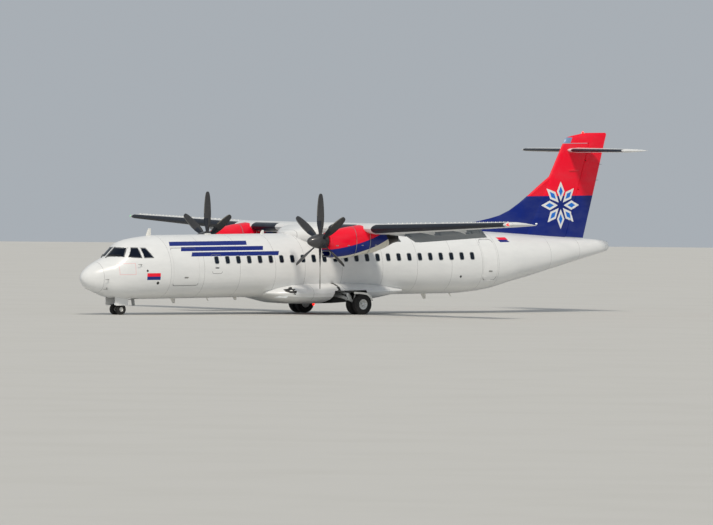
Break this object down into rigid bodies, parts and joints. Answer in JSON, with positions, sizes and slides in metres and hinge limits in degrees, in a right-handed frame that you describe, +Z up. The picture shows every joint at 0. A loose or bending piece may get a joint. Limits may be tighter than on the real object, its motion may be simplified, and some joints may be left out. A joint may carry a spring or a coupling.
{
  "type": "turboprop airliner",
  "caption": "High-wing twin turboprop airliner with a T-tail, parked on its gear with its flaps down; doors, flaps, tail surfaces, propellers and wheels move.",
  "frame": {"origin": "on the ground, on the centre plane, midway along the length", "axes": "+X to the nose, +Y to the left wing tip, +Z up"},
  "size_m": [27.1662, 27.05, 7.6523],
  "materials": {
    "white_metal": "white gloss paint on riveted aluminium sheet",
    "white_composite": "white gloss paint on composite skin",
    "grey_metal": "grey satin paint on aluminium sheet",
    "grey_composite": "grey satin paint on composite skin",
    "red_composite": "red gloss paint on composite skin",
    "blue_composite": "dark blue gloss paint on composite skin",
    "boot_rubber": "black de-icing boot",
    "cockpit_glass": "dark laminated glass",
    "engine_steel": "bare steel casing",
    "spinner_composite": "dark grey paint on composite",
    "blade_composite": "dark grey composite blade",
    "gear_steel": "light grey enamel on forged steel",
    "wheel_metal": "light grey enamel on cast aluminium",
    "tyre_rubber": "black tyre rubber"
  },
  "bodies": {
    "airframe": {"radome": "white_composite", "nose_section": "white_metal", "windscreen_left": "cockpit_glass", "windscreen_right": "cockpit_glass", "side_window_left": "cockpit_glass", "side_window_right": "cockpit_glass", "quarter_window_left": "cockpit_glass", "quarter_window_right": "cockpit_glass", "forward_fuselage": "white_metal", "centre_fuselage": "white_metal", "aft_fuselage": "white_metal", "tail_cone": "white_composite", "wing_centre": "grey_metal", "outer_wing_left": "white_composite", "outer_wing_right": "white_composite", "leading_edge_left": "boot_rubber", "leading_edge_right": "boot_rubber", "dorsal_fin": "blue_composite", "fin": "red_composite", "tailplane": "grey_composite", "wing_fairing": "white_composite", "belly_fairing": "white_composite", "nacelle_left": "red_composite", "nacelle_right": "red_composite", "engine_left": "engine_steel", "engine_right": "engine_steel", "nose_leg": "gear_steel", "nose_gear_door_left": "white_composite", "nose_gear_door_right": "white_composite", "main_gear_leg_left": "gear_steel", "main_gear_leg_right": "gear_steel", "wheel_cover_left": "white_composite", "wheel_cover_right": "white_composite"},
    "propeller_left": {"spinner_left": "spinner_composite", "propeller_left": "blade_composite"},
    "propeller_right": {"spinner_right": "spinner_composite", "propeller_right": "blade_composite"},
    "nose_fork": {"nose_fork": "gear_steel"},
    "nose_wheels": {"nose_wheel_hubs": "wheel_metal", "nose_tyre_left": "tyre_rubber", "nose_tyre_right": "tyre_rubber"},
    "main_wheels_left": {"main_wheel_hubs_left": "wheel_metal", "main_tyre_outer_left": "tyre_rubber", "main_tyre_inner_left": "tyre_rubber"},
    "main_wheels_right": {"main_wheel_hubs_right": "wheel_metal", "main_tyre_outer_right": "tyre_rubber", "main_tyre_inner_right": "tyre_rubber"},
    "cargo_door": {"cargo_door": "white_metal"},
    "passenger_door": {"passenger_door": "white_metal"},
    "service_door": {"service_door": "white_metal"},
    "flap_inner_left": {"flap_inner_left": "grey_composite"},
    "flap_inner_right": {"flap_inner_right": "grey_composite"},
    "flap_outer_left": {"flap_outer_left": "grey_composite"},
    "flap_outer_right": {"flap_outer_right": "grey_composite"},
    "aileron_left": {"aileron_left": "grey_composite"},
    "aileron_right": {"aileron_right": "grey_composite"},
    "rudder": {"rudder": "red_composite"},
    "elevator_left": {"elevator_left": "grey_composite"},
    "elevator_right": {"elevator_right": "grey_composite"}
  },
  "joints": [
    {"name": "propeller_left_spin", "type": "hinge", "parent": "airframe", "child": "propeller_left", "pos_m": [4.42101, 4.05, 3.07996], "axis": [0.9999, 0, -0.0122], "continuous": true},
    {"name": "propeller_right_spin", "type": "hinge", "parent": "airframe", "child": "propeller_right", "pos_m": [4.42101, -4.05, 3.07996], "axis": [0.9999, 0, -0.0122], "continuous": true},
    {"name": "nose_steering", "type": "hinge", "parent": "airframe", "child": "nose_fork", "pos_m": [11.75717, 0, 0.51114], "axis": [0.0122, 0, 0.9999], "range_deg": [-60, 60]},
    {"name": "nose_wheels_roll", "type": "hinge", "parent": "nose_fork", "child": "nose_wheels", "pos_m": [11.75368, 0, 0.22498], "axis": [0, 1, 0], "continuous": true},
    {"name": "main_wheels_left_roll", "type": "hinge", "parent": "airframe", "child": "main_wheels_left", "pos_m": [0.9854, 2.05, 0.43198], "axis": [0, 1, 0], "continuous": true},
    {"name": "main_wheels_right_roll", "type": "hinge", "parent": "airframe", "child": "main_wheels_right", "pos_m": [0.9854, -2.05, 0.43198], "axis": [0, 1, 0], "continuous": true},
    {"name": "cargo_door_swing", "type": "hinge", "parent": "airframe", "child": "cargo_door", "pos_m": [8.76268, 1.08879, 2.78089], "axis": [0.9999, 0, -0.0122], "range_deg": [0, 110]},
    {"name": "passenger_door_swing", "type": "hinge", "parent": "airframe", "child": "passenger_door", "pos_m": [-6.1204, 1.25507, 1.39162], "axis": [-0.998, -0.0615, 0.0122], "range_deg": [0, 120]},
    {"name": "service_door_swing", "type": "hinge", "parent": "airframe", "child": "service_door", "pos_m": [-6.0509, -1.4325, 1.92381], "axis": [0.0122, 0, 0.9999], "range_deg": [0, 110]},
    {"name": "flap_outer_left_raise", "type": "hinge", "parent": "airframe", "child": "flap_outer_left", "pos_m": [0.68454, 4.84, 3.3249], "axis": [0.0112, 0.9993, 0.0358], "range_deg": [0, 35]},
    {"name": "flap_outer_right_raise", "type": "hinge", "parent": "airframe", "child": "flap_outer_right", "pos_m": [0.68454, -4.84, 3.3249], "axis": [-0.0112, 0.9993, -0.0358], "range_deg": [0, 35]},
    {"name": "flap_inner_left_raise", "type": "hinge", "parent": "airframe", "child": "flap_inner_left", "pos_m": [0.68454, 1.96, 3.3249], "axis": [0, 1, 0], "range_deg": [0, 35]},
    {"name": "flap_inner_right_raise", "type": "hinge", "parent": "airframe", "child": "flap_inner_right", "pos_m": [0.68454, -1.96, 3.3249], "axis": [0, 1, 0], "range_deg": [0, 35]},
    {"name": "aileron_left_tilt", "type": "hinge", "parent": "airframe", "child": "aileron_left", "pos_m": [0.64435, 9.856, 3.75104], "axis": [0.0164, 0.9992, 0.0366], "range_deg": [-14, 14]},
    {"name": "aileron_right_tilt", "type": "hinge", "parent": "airframe", "child": "aileron_right", "pos_m": [0.64435, -9.856, 3.75104], "axis": [-0.0164, 0.9992, -0.0366], "range_deg": [-14, 14]},
    {"name": "rudder_swing", "type": "hinge", "parent": "airframe", "child": "rudder", "pos_m": [-11.31868, 0, 3.03825], "axis": [-0.2914, 0, 0.9566], "range_deg": [-27, 27]},
    {"name": "elevator_left_tilt", "type": "hinge", "parent": "airframe", "child": "elevator_left", "pos_m": [-12.61348, 2, 6.90935], "axis": [0, 1, 0], "range_deg": [-13, 23]},
    {"name": "elevator_right_tilt", "type": "hinge", "parent": "airframe", "child": "elevator_right", "pos_m": [-12.61348, -2, 6.90935], "axis": [0, 1, 0], "range_deg": [-13, 23]}
  ],
  "couplings": [
    {"joint": "flap_outer_right_raise", "follows": "flap_outer_left_raise", "ratio": 1},
    {"joint": "flap_inner_left_raise", "follows": "flap_outer_left_raise", "ratio": 1},
    {"joint": "flap_inner_right_raise", "follows": "flap_outer_left_raise", "ratio": 1},
    {"joint": "aileron_right_tilt", "follows": "aileron_left_tilt", "ratio": -1},
    {"joint": "elevator_right_tilt", "follows": "elevator_left_tilt", "ratio": 1}
  ]
}
